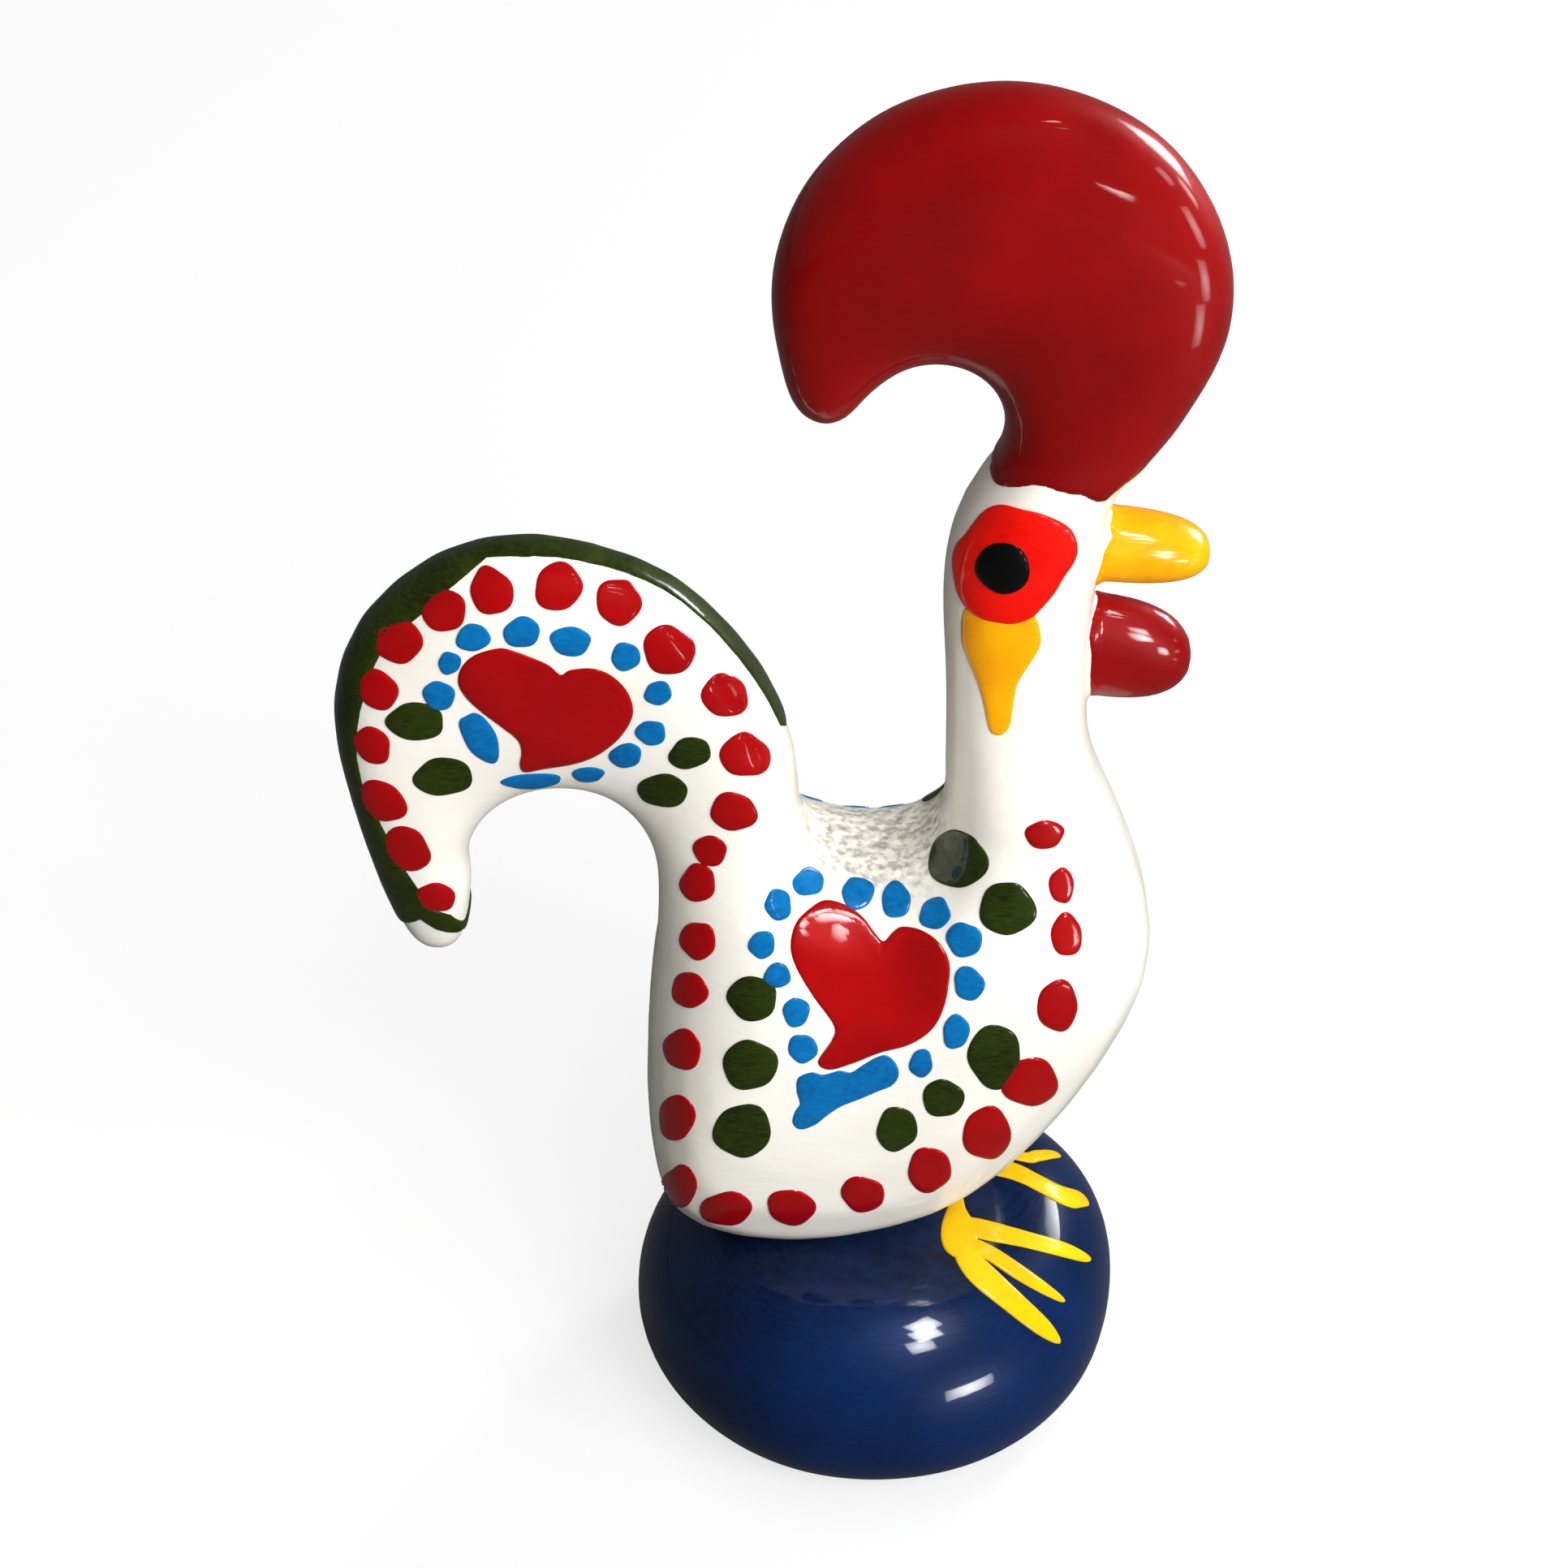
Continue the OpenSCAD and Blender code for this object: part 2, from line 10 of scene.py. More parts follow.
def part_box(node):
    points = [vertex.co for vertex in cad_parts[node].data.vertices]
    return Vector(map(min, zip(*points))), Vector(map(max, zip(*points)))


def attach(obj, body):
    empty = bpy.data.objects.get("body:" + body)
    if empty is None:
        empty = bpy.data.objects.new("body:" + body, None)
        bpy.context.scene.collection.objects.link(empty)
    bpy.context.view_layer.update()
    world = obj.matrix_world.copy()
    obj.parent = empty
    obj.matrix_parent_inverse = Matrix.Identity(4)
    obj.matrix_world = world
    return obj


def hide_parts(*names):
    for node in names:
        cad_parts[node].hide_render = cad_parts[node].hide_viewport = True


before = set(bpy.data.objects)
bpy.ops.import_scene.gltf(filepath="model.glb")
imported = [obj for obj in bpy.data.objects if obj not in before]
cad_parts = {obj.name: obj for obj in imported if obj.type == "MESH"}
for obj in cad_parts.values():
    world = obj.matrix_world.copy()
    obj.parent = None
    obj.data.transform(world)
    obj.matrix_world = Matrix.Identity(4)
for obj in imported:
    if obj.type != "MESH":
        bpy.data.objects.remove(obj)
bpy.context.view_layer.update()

mm = 0.001
body = "root"

# Small helpers


def hexColour(text):  # sRGB hex to the linear values that Blender wants
    values = [int(text[i:i + 2], 16) / 255 for i in (1, 3, 5)]
    linear = [v / 12.92 if v <= 0.04045 else ((v + 0.055) / 1.055) ** 2.4 for v in values]
    return (*linear, 1.0)


def deselectAll():
    if bpy.context.object and bpy.context.object.mode != "OBJECT":
        bpy.ops.object.mode_set(mode="OBJECT")
    bpy.ops.object.select_all(action="DESELECT")


def makeActive(obj):
    deselectAll()
    obj.select_set(True)
    bpy.context.view_layer.objects.active = obj
    return obj


def applyModifier(obj, kind, **settings):
    modifier = obj.modifiers.new(kind.title(), kind)
    for key, value in settings.items():
        setattr(modifier, key, value)
    makeActive(obj)
    bpy.ops.object.modifier_apply(modifier=modifier.name)


def joinAll(objects, name):
    deselectAll()
    for obj in objects:
        obj.select_set(True)
    bpy.context.view_layer.objects.active = objects[0]
    if len(objects) > 1:
        bpy.ops.object.join()
    joined = bpy.context.object
    joined.name = name
    joined.data.name = name
    return joined


def swell(obj, depth):  # moves every point along its normal, in millimetres
    normals = [vertex.normal.copy() for vertex in obj.data.vertices]
    for vertex, normal in zip(obj.data.vertices, normals):
        vertex.co += normal * depth * mm


# How far the lumps overlap and how near points are merged, in mm, and how strong one smoothing is
luting = {"overlap": 0.12, "weld": 0.002, "smoothing": 0.5}


def clayFrom(name, nodes, voxel, rounds):
    # One skin over the CAD solids named. Each is closed up and swollen a little, so that they run
    # into each other as luted clay does. CAD meshes are loose triangles, so a copy is merged first.
    lumps = []
    for node in nodes:
        lump = bpy.data.objects.new(name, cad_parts[node].data.copy())
        bpy.context.collection.objects.link(lump)
        lump.data.materials.clear()
        makeActive(lump)
        bpy.ops.object.mode_set(mode="EDIT")
        bpy.ops.mesh.select_all(action="SELECT")
        bpy.ops.mesh.remove_doubles(threshold=luting["weld"] * mm)
        bpy.ops.object.mode_set(mode="OBJECT")
        applyModifier(lump, "REMESH", mode="VOXEL", voxel_size=voxel * mm, adaptivity=0.0)
        swell(lump, luting["overlap"])
        lumps.append(lump)
    skin = joinAll(lumps, name)
    if len(nodes) > 1:
        applyModifier(skin, "REMESH", mode="VOXEL", voxel_size=voxel * mm, adaptivity=0.0)
    swell(skin, -luting["overlap"])
    applyModifier(skin, "SMOOTH", factor=luting["smoothing"], iterations=rounds)
    return skin


def undulate(obj, size, depth, seed):  # hand-made unevenness, as wide as a fingertip or narrower
    shift = Vector((seed, 2 * seed, -seed))
    normals = [vertex.normal.copy() for vertex in obj.data.vertices]  # read before anything moves
    for vertex, normal in zip(obj.data.vertices, normals):
        vertex.co += normal * depth * mm * noise.noise(vertex.co / (size * mm) + shift)


def finishPiece(obj, material, slot, *nodes):
    makeActive(obj)
    bpy.ops.object.shade_smooth()
    obj.data.materials.clear()
    obj.data.materials.append(material)
    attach(obj, body)
    if nodes:
        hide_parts(*nodes)


# Camera

view = {
    "elevation": 36.0,
    "distance": 250 * mm,
    "aim": Vector((1.173, 0, 50.65)) * mm,
    "focalPixels": 4736.46,
    "frame": 1932,  # pixels across the photograph
    "sensor": 36,
}

tilt = math.radians(view["elevation"])
bpy.ops.object.camera_add(
    location=view["aim"] + view["distance"] * Vector((0, -math.cos(tilt), math.sin(tilt))),
    rotation=(math.radians(90) - tilt, 0, 0),
)
camera = bpy.context.object
camera.name = "Camera"
camera.data.sensor_width = view["sensor"]
camera.data.lens = view["sensor"] * view["focalPixels"] / view["frame"]
camera.data.clip_start = 0.01
camera.data.dof.use_dof = False
bpy.context.scene.camera = camera


def sightLine(x, y, side):
    # from the eye through this place of the photograph; side 1 looks from the mirror image of the eye
    half = view["frame"] / 2
    across = (x - half) / view["focalPixels"]
    up = (half - y) / view["focalPixels"]
    direction = Matrix.Rotation(math.radians(90) - tilt, 3, "X") @ Vector((across, up, -1))
    origin = camera.location.copy()
    if side > 0:
        origin.y *= -1
        direction.y *= -1
    return origin, direction.normalized()


print("camera ready")

# Materials


def addNode(tree, kind, inputs=None, **settings):
    node = tree.nodes.new(kind)
    for key, value in settings.items():
        setattr(node, key, value)
    for key, value in (inputs or {}).items():
        socket = node.inputs[key]
        if isinstance(value, bpy.types.NodeSocket):
            tree.links.new(value, socket)
        else:
            socket.default_value = value
    return node


def newMaterial(name):
    material = bpy.data.materials.new(name)
    material.use_nodes = True
    material.node_tree.nodes.clear()
    return material, material.node_tree


def noiseFactor(tree, vector, size, detail=3.0, roughness=0.5, low=0.35, high=0.65):
    # noise whose grains are this many millimetres across, stretched to the full range
    pattern = addNode(tree, "ShaderNodeTexNoise", {
        "Vector": vector, "Scale": 1 / (size * mm), "Detail": detail, "Roughness": roughness})
    stretch = addNode(tree, "ShaderNodeMapRange", {
        "Value": pattern.outputs["Fac"], "From Min": low, "From Max": high}, clamp=True)
    return stretch.outputs["Result"]


def mixColours(tree, factor, first, second):  # a Mix node takes colours at 6 and 7, gives one at 2
    mixer = addNode(tree, "ShaderNodeMix", {0: factor, 6: first, 7: second}, data_type="RGBA")
    return mixer.outputs[2]


def multiplied(tree, first, second):
    return addNode(tree, "ShaderNodeMath", {0: first, 1: second}, operation="MULTIPLY").outputs[0]


def brushedVector(tree, turn, stretch):  # coordinates drawn out along the strokes of a brush
    place = addNode(tree, "ShaderNodeTexCoord").outputs["Object"]
    mapping = addNode(tree, "ShaderNodeMapping", {
        "Vector": place, "Rotation": [math.radians(a) for a in turn], "Scale": stretch})
    return place, mapping.outputs["Vector"]


varnish = {"ior": 1.5, "roughness": 0.05, "shineUnder": 0.08, "rippleHeight": 0.05 * mm}


def enamelPaint(name, paint):  # oil enamel, brushed on and varnished: glossy, slightly uneven
    material, tree = newMaterial(name)
    place, strokes = brushedVector(tree, paint["turn"], paint["stretch"])
    patches = noiseFactor(tree, place, paint["patch"], detail=4)
    streaks = noiseFactor(tree, strokes, paint["streak"], detail=5, roughness=0.6)
    colour = mixColours(tree, patches, hexColour(paint["deep"]), hexColour(paint["plain"]))
    thin = multiplied(tree, streaks, paint["streakShare"])
    colour = mixColours(tree, thin, colour, hexColour(paint["light"]))
    ripple = noiseFactor(tree, strokes, 1.6 * paint["streak"], detail=2, low=0.2, high=0.8)
    bump = addNode(tree, "ShaderNodeBump", {
        "Height": ripple, "Strength": paint["relief"], "Distance": varnish["rippleHeight"]})
    roughness = addNode(tree, "ShaderNodeMapRange", {
        "Value": patches,
        "To Min": paint["roughness"] * 0.85, "To Max": paint["roughness"] * 1.2})
    shader = addNode(tree, "ShaderNodeBsdfPrincipled", {
        "Base Color": colour, "Roughness": roughness.outputs["Result"], "IOR": varnish["ior"],
        "Specular IOR Level": varnish["shineUnder"], "Coat Weight": paint["coat"],
        "Coat Roughness": varnish["roughness"], "Coat IOR": varnish["ior"],
        "Normal": bump.outputs["Normal"]})
    addNode(tree, "ShaderNodeOutputMaterial", {"Surface": shader.outputs[0]})
    return material


# Each paint: three tones, how its brush strokes turn (degrees) and stretch, how wide its patches
# and streaks are in mm, and how much they show
enamels = {
    "redEnamel": {
        "plain": "#A60004", "deep": "#8E0002", "light": "#B80409",
        "turn": (0, 35, 0), "stretch": (1, 1, 4), "patch": 6, "streak": 0.9,
        "streakShare": 0.2, "relief": 0.12, "roughness": 0.35, "coat": 0.45,
    },
    "combEnamel": {
        "plain": "#8E0002", "deep": "#760001", "light": "#9C0104",
        "turn": (0, 35, 0), "stretch": (1, 1, 6), "patch": 9, "streak": 1.2,
        "streakShare": 0.12, "relief": 0.12, "roughness": 0.4, "coat": 0.45,
    },
    "orangeEnamel": {
        "plain": "#EE0A00", "deep": "#E00400", "light": "#F61C02",
        "turn": (0, 0, 0), "stretch": (1, 1, 3), "patch": 3, "streak": 0.7,
        "streakShare": 0.35, "relief": 0.15, "roughness": 0.4, "coat": 0.4,
    },
    "yellowEnamel": {
        "plain": "#FFB000", "deep": "#F89C00", "light": "#FFC208",
        "turn": (0, 50, 0), "stretch": (1, 1, 3), "patch": 3, "streak": 0.8,
        "streakShare": 0.3, "relief": 0.15, "roughness": 0.35, "coat": 0.4,
    },
    "footEnamel": {
        "plain": "#F2C000", "deep": "#E0AA00", "light": "#FACE10",
        "turn": (0, 50, 0), "stretch": (1, 1, 3), "patch": 4, "streak": 0.8,
        "streakShare": 0.3, "relief": 0.2, "roughness": 0.4, "coat": 0.4,
    },
    "blueEnamel": {
        "plain": "#0068AA", "deep": "#005896", "light": "#0A82C4",
        "turn": (0, 0, 0), "stretch": (1, 1, 2), "patch": 2, "streak": 0.5,
        "streakShare": 0.4, "relief": 0.25, "roughness": 0.4, "coat": 0.4,
    },
    "greenEnamel": {
        "plain": "#202C02", "deep": "#141C01", "light": "#36460A",
        "turn": (0, 20, 0), "stretch": (1, 1, 4), "patch": 3, "streak": 0.6,
        "streakShare": 0.4, "relief": 0.25, "roughness": 0.4, "coat": 0.4,
    },
    "blackEnamel": {
        "plain": "#030303", "deep": "#010101", "light": "#080808",
        "turn": (0, 0, 0), "stretch": (1, 1, 1), "patch": 2, "streak": 0.6,
        "streakShare": 0.3, "relief": 0.1, "roughness": 0.5, "coat": 0.2,
    },
    "navyEnamel": {
        "plain": "#001A48", "deep": "#000A24", "light": "#033468",
        "turn": (0, 65, 20), "stretch": (1, 1, 9), "patch": 12, "streak": 0.8,
        "streakShare": 0.25, "relief": 0.15, "roughness": 0.35, "coat": 0.42,
    },
}
paints = {name: enamelPaint(name, paint) for name, paint in enamels.items()}

ivory = {  # sizes in mm
    "plain": "#FCFAF2", "warm": "#F7F2E4", "patch": 7, "roughness": 0.4,
    "stroke": 1.4, "strokeRelief": 0.3, "strokeHeight": 0.05 * mm,
    "coat": 0.5, "coatRoughness": 0.06,
    "saddleSeenAt": (1082, 1030), "saddleReach": 8.5 * mm, "saddleCore": 0.35,
    "crinkle": 0.9, "crinkleRounding": 0.6, "crinkleHeight": 0.35 * mm,
    # the grey specks are painted shade in the saddle's crinkles
    "shadeSpeck": "#A09E94", "speckSize": 0.55, "speckShare": 0.75,
}


def ivoryGlaze(saddle):
    # white enamel over fired clay: warm where it is thin, crinkled where it gathered on the saddle,
    # greyed there by painted shade in the crinkles
    material, tree = newMaterial("ivoryEnamel")
    place, strokes = brushedVector(tree, (0, 15, 0), (1, 1, 3))
    patches = noiseFactor(tree, place, ivory["patch"], detail=4)
    colour = mixColours(tree, patches, hexColour(ivory["warm"]), hexColour(ivory["plain"]))
    away = addNode(tree, "ShaderNodeVectorMath", {0: place, 1: saddle}, operation="DISTANCE")
    crinkled = addNode(tree, "ShaderNodeMapRange", {
        "Value": away.outputs["Value"], "From Min": ivory["saddleReach"],
        "From Max": ivory["saddleCore"] * ivory["saddleReach"]},
        interpolation_type="SMOOTHSTEP").outputs["Result"]
    cells = addNode(tree, "ShaderNodeTexVoronoi", {
        "Vector": place, "Scale": 1 / (ivory["crinkle"] * mm), "Randomness": 1.0},
        feature="SMOOTH_F1")
    cells.inputs["Smoothness"].default_value = ivory["crinkleRounding"]
    # grey specks over the crinkled saddle: painted shade in the crinkles
    specks = noiseFactor(tree, place, ivory["speckSize"], detail=4, low=0.46, high=0.62)
    crinkleShade = multiplied(tree, multiplied(tree, specks, crinkled), ivory["speckShare"])
    colour = mixColours(tree, crinkleShade, colour, hexColour(ivory["shadeSpeck"]))
    ripple = noiseFactor(tree, strokes, ivory["stroke"], detail=3, low=0.2, high=0.8)
    soft = addNode(tree, "ShaderNodeBump", {
        "Height": ripple, "Strength": ivory["strokeRelief"], "Distance": ivory["strokeHeight"]})
    rough = addNode(tree, "ShaderNodeBump", {
        "Height": cells.outputs["Distance"], "Strength": crinkled,
        "Distance": ivory["crinkleHeight"], "Normal": soft.outputs["Normal"]})
    shader = addNode(tree, "ShaderNodeBsdfPrincipled", {
        "Base Color": colour, "Roughness": ivory["roughness"], "IOR": varnish["ior"],
        "Coat Weight": ivory["coat"], "Coat Roughness": ivory["coatRoughness"],
        "Coat IOR": varnish["ior"], "Normal": rough.outputs["Normal"]})
    addNode(tree, "ShaderNodeOutputMaterial", {"Surface": shader.outputs[0]})
    return material


print("materials ready")

# The clay, one skin over all that is luted together

clay = {  # sizes in mm
    "voxel": 0.36, "rounds": 20, "waveSize": 9, "waveDepth": 0.16, "waveSeed": 3.1,
    "combFrom": 76, "combFade": 4, "combRounds": 45,  # the comb, above this, is smoothed more
    "lastRounds": 4,
}

buds = {  # pinched lobes: how blunt, and in mm how far the tip sinks and how deep they are rooted
    "beak": {"blunt": 3.0, "power": 0.4, "droop": 0.7, "rooted": 1.5},
    "wattle": {"blunt": 3.0, "power": 0.45, "droop": 1.0, "rooted": 1.5},
}


def budForm(name):  # as long, high and thick as its CAD solid, with the tip that a thumb leaves
    low, high = (Vector(corner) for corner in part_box(name))
    form = buds[name]
    size = high - low
    deselectAll()
    bpy.ops.mesh.primitive_uv_sphere_add(segments=48, ring_count=40, radius=1)
    bud = bpy.context.object
    for vertex in bud.data.vertices:
        side, up, along = vertex.co
        around = max(1e-6, math.hypot(side, up))
        if along >= 0:
            width = (1 - min(1, along) ** form["blunt"]) ** form["power"]
            x = low.x + along * size.x
        else:
            width = (1 - min(1, -along) ** 6) ** 0.5
            x = low.x + along * form["rooted"] * mm
        middle = (low.z + high.z) / 2 + (0.5 - max(0, along)) * form["droop"] * mm
        vertex.co = (x, side / around * width ** 0.8 * size.y / 2,
                     middle + up / around * width * (size.z / 2 - 0.5 * form["droop"] * mm))
    return bud


solids = ["body_right_shell", "body_left_shell", "neck_and_head", "tail", "comb"]
skin = clayFrom("clayBird", solids, clay["voxel"], clay["rounds"])
crest = skin.vertex_groups.new(name="crest")
for vertex in skin.data.vertices:
    above = (vertex.co.z / mm - clay["combFrom"]) / clay["combFade"]
    crest.add([vertex.index], min(1, max(0, above)), "REPLACE")
applyModifier(skin, "SMOOTH", factor=luting["smoothing"], iterations=clay["combRounds"],
              vertex_group="crest")
undulate(skin, clay["waveSize"], clay["waveDepth"], clay["waveSeed"])
bird = joinAll([skin, budForm("beak"), budForm("wattle")], "clayBird")
applyModifier(bird, "REMESH", mode="VOXEL", voxel_size=clay["voxel"] * mm, adaptivity=0.0)
applyModifier(bird, "SMOOTH", factor=luting["smoothing"], iterations=clay["lastRounds"])

# The thrown base is a little fuller at its shoulder under the breast, and its foot is wiped flat
thrown = {  # sizes in mm
    "voxel": 0.5, "rounds": 10, "waveSize": 12, "waveDepth": 0.14, "waveSeed": 7.7,
    "shoulder": Vector((20.5, 6.5, 12)), "shoulderReach": 14, "fuller": 1.05,
}
base = clayFrom("roundBase", ["base_bell"], thrown["voxel"], thrown["rounds"])
undulate(base, thrown["waveSize"], thrown["waveDepth"], thrown["waveSeed"])
normals = [vertex.normal.copy() for vertex in base.data.vertices]
for vertex, normal in zip(base.data.vertices, normals):
    away = (vertex.co / mm - thrown["shoulder"]).length / thrown["shoulderReach"]
    near = max(0, 1 - away ** 2)
    vertex.co += normal * thrown["fuller"] * near ** 2 * mm
    vertex.co.z = max(0, vertex.co.z)


def treeOf(obj):
    places = [v.co for v in obj.data.vertices]
    return BVHTree.FromPolygons(places, [p.vertices for p in obj.data.polygons])


birdTree = treeOf(bird)
baseTree = treeOf(base)
paints["ivoryEnamel"] = ivoryGlaze(birdTree.ray_cast(*sightLine(*ivory["saddleSeenAt"], -1))[0])
print("clay shaped", len(bird.data.polygons), len(base.data.polygons))

# Enamel that covers a whole part: the clay's skin, thickened inside an outline drawn from the side


def sideOn(points):
    # places of the photograph, as x and z on the clay, or on the middle plane where they miss it
    found = []
    for x, y in points:
        origin, direction = sightLine(x, y, -1)
        spot = birdTree.ray_cast(origin, direction)[0]
        if spot is None:
            spot = origin - direction * (origin.y / direction.y)
        found.append((spot.x / mm, spot.z / mm))
    return found


def depthInside(vertices, polygon, looseness, wider):
    # millimetres inside the outline, negative outside; the left side's edge is looser and wider
    x = np.array([v.co.x for v in vertices]) / mm
    y = np.array([v.co.y for v in vertices]) / mm
    z = np.array([v.co.z for v in vertices]) / mm
    nearest = np.full(len(x), 1e9)
    inside = np.zeros(len(x), dtype=bool)
    for (ax, az), (bx, bz) in zip(polygon, polygon[1:] + polygon[:1]):
        dx, dz = bx - ax, bz - az
        along = np.clip(((x - ax) * dx + (z - az) * dz) / max(1e-9, dx * dx + dz * dz), 0, 1)
        nearest = np.minimum(nearest, np.hypot(x - ax - along * dx, z - az - along * dz))
        if dz:
            crossing = ((az > z) != (bz > z)) & (x < dx * (z - az) / dz + ax)
            inside ^= crossing
    depth = np.where(inside, nearest, -nearest)
    wave = looseness * np.sin(1.7 * x + 1.1 * z) * np.sin(0.9 * z - 0.6 * x)  # 3 and 6 mm long
    return depth + wave * (y > 0) + wider * np.clip((y + 1) / 1.5, 0, 1)


coatEdge = {  # sizes in mm
    "rim": 0.45,  # the paint rises to its full height over this
    "under": 0.16,  # its edge goes this deep under the clay's skin
    "fineBand": 1.4,  # the mesh is cut finer this near the outline
    "voxelsKept": 2.2,  # skin is kept this many voxels outside the outline before the cut
    "wall": 0.3,
}


def coatOver(name, polygon, coat, cuts, looseness=0.25, wider=0.0):
    paint = bpy.data.objects.new(name, bird.data.copy())
    bpy.context.collection.objects.link(paint)
    for reach, cut in ((coatEdge["voxelsKept"] * clay["voxel"], cuts), (clay["voxel"], 0)):
        depth = depthInside(paint.data.vertices, polygon, looseness, wider)
        makeActive(paint)
        bpy.ops.object.mode_set(mode="EDIT")
        bpy.ops.mesh.select_all(action="DESELECT")
        bpy.ops.object.mode_set(mode="OBJECT")
        paint.data.vertices.foreach_set("select", depth < -reach)
        bpy.ops.object.mode_set(mode="EDIT")
        bpy.ops.mesh.delete(type="VERT")
        if cut:
            bpy.ops.object.mode_set(mode="OBJECT")
            depth = depthInside(paint.data.vertices, polygon, looseness, wider)
            paint.data.vertices.foreach_set("select", np.abs(depth) < coatEdge["fineBand"])
            bpy.ops.object.mode_set(mode="EDIT")
            bpy.ops.mesh.select_mode(type="VERT")
            bpy.ops.mesh.subdivide(number_cuts=cut)
        bpy.ops.object.mode_set(mode="OBJECT")
    depth = depthInside(paint.data.vertices, polygon, looseness, wider)
    for vertex, inside in zip(paint.data.vertices, depth):
        share = min(1, max(0, inside / coatEdge["rim"]))
        height = max(-coatEdge["under"], inside)
        if inside > 0:
            height = coat * math.sqrt(1 - (1 - share) ** 2)
        vertex.co = vertex.co + smoothNormal(vertex.co) * height * mm
    applyModifier(paint, "SOLIDIFY", thickness=coatEdge["wall"] * mm, offset=-1)
    return paint


birdNormals = [v.normal.copy() for v in bird.data.vertices]
birdPolygons = [tuple(p.vertices) for p in bird.data.polygons]


def smoothNormal(place):  # the clay's normal, blended between its corners
    spot, _, index, _ = birdTree.find_nearest(place)
    total = Vector((0, 0, 0))
    for corner in birdPolygons[index]:
        total += birdNormals[corner] / ((bird.data.vertices[corner].co - spot).length + 0.02 * mm)
    return total.normalized()


combEdge = [(1205, 560), (1221, 584), (1227, 595), (1240, 599.5), (1257, 599.5), (1274, 597),
            (1289, 599.5), (1305, 605.5), (1321, 609), (1334, 610), (1350, 618), (1361, 618),
            (1368, 611), (1385, 596)]
beakEdge = [(1367, 647), (1370.5, 660.5), (1361, 679), (1355.5, 700), (1350, 716), (1350, 722)]
wattleEdge = [(1357, 724), (1352, 742), (1346, 762), (1342, 784), (1345, 808), (1343.5, 835),
              (1343.5, 868)]
bandEdge = [(975, 890), (962, 880), (947.5, 854.5), (929, 832), (910.5, 806.5), (888, 777),
            (873.5, 758), (851, 745), (840, 731), (818, 716), (796, 710), (770, 701),
            (744, 694.5), (714, 690), (688.5, 686), (659, 685), (629, 685), (600, 686),
            (585, 699), (563, 718), (540.5, 736), (518, 758), (503.5, 769.5), (474, 795),
            (461, 821), (452, 847), (443.5, 877), (439, 906), (440, 936), (446, 965.5),
            (459, 995), (474, 1025), (487, 1050.5), (500, 1073), (515, 1095), (530, 1118),
            (555, 1127), (580, 1130), (579, 1139), (559, 1149), (537, 1145), (518, 1133)]
coats = {
    "comb": sideOn(combEdge) + [(60, 85), (60, 120), (-60, 120), (-60, 85)],
    "beak": [(21.85, 72), (21.55, 71.6)] + sideOn(beakEdge) + [(60, 50), (60, 72)],
    "wattle": sideOn(wattleEdge) + [(60, 40), (60, 72)],
    "tailEdge": sideOn(bandEdge) + [(-45, 25), (-45, 100), (0, 100)],
}
comb = coatOver("combPaint", coats["comb"], coat=0.2, cuts=1)
beak = coatOver("beakPaint", coats["beak"], coat=0.18, cuts=2)
wattle = coatOver("wattlePaint", coats["wattle"], coat=0.18, cuts=2)
tailEdge = coatOver("tailEdge", coats["tailEdge"], coat=0.16, cuts=2, looseness=0.1, wider=0.7)
print("comb, beak, wattle and tail edge painted")

# Enamel marks. Every mark is placed by where the photograph shows it: x and y in its frame, then
# its half width, half height and turn. The left side, which the photograph hides, has the mirror
# image by a looser hand.

paintProfile = [(0, 1), (0.3, 1), (0.55, 0.98), (0.74, 0.93), (0.87, 0.82), (0.95, 0.62),
                (0.985, 0.36), (1, -0.5)]  # share of the way out, and height there
paintHeights = {  # in mm
    "redDot": 0.17, "blueDot": 0.15, "greenDot": 0.16, "heart": 0.19, "smear": 0.13,
    "earLobe": 0.17, "eyePatch": 0.17, "eyePatchLift": 0.12, "pupil": 0.4, "pupilLift": 0.06,
    "foot": 0.17,
}


def markTemplate(segments):
    # a disc whose rings follow the profile of a wet drop, modelled once for each size
    deselectAll()
    bpy.ops.mesh.primitive_circle_add(vertices=segments, radius=1, fill_type="TRIFAN")
    disc = bpy.context.object
    bpy.ops.object.mode_set(mode="EDIT")
    bpy.ops.mesh.select_all(action="DESELECT")
    bpy.ops.object.mode_set(mode="OBJECT")
    for edge in disc.data.edges:
        edge.select = min(disc.data.vertices[i].co.length for i in edge.vertices) < 0.5
    bpy.ops.object.mode_set(mode="EDIT")
    bpy.ops.mesh.subdivide(number_cuts=len(paintProfile) - 2)
    bpy.ops.object.mode_set(mode="OBJECT")
    return disc


def daub(disc, outline, centre, side, thickness, lift=0.0):
    # one mark: the disc's rings run from the centre to the outline, each point is laid on the clay
    count = len(outline)
    mesh = disc.data.copy()
    origin, direction = sightLine(*centre, side)
    reach = birdTree.ray_cast(origin, direction)[3] or view["distance"]
    for vertex in mesh.vertices:
        share, height = paintProfile[round(vertex.co.length * (len(paintProfile) - 1))]
        turn = (math.atan2(vertex.co.y, vertex.co.x) / (2 * math.pi) * count) % count
        first = int(turn) % count
        second = (first + 1) % count
        blend = turn - int(turn)
        rim = [outline[first][k] * (1 - blend) + outline[second][k] * blend for k in (0, 1)]
        x = centre[0] + (rim[0] - centre[0]) * share
        y = centre[1] + (rim[1] - centre[1]) * share
        origin, direction = sightLine(x, y, side)
        spot = birdTree.ray_cast(origin, direction)[0]
        if spot is None:
            spot = birdTree.find_nearest(origin + direction * reach)[0]
        rise = thickness * height + (lift if height > 0 else 0)
        vertex.co = spot + smoothNormal(spot) * rise * mm
    mark = bpy.data.objects.new("mark", mesh)
    bpy.context.collection.objects.link(mark)
    return mark


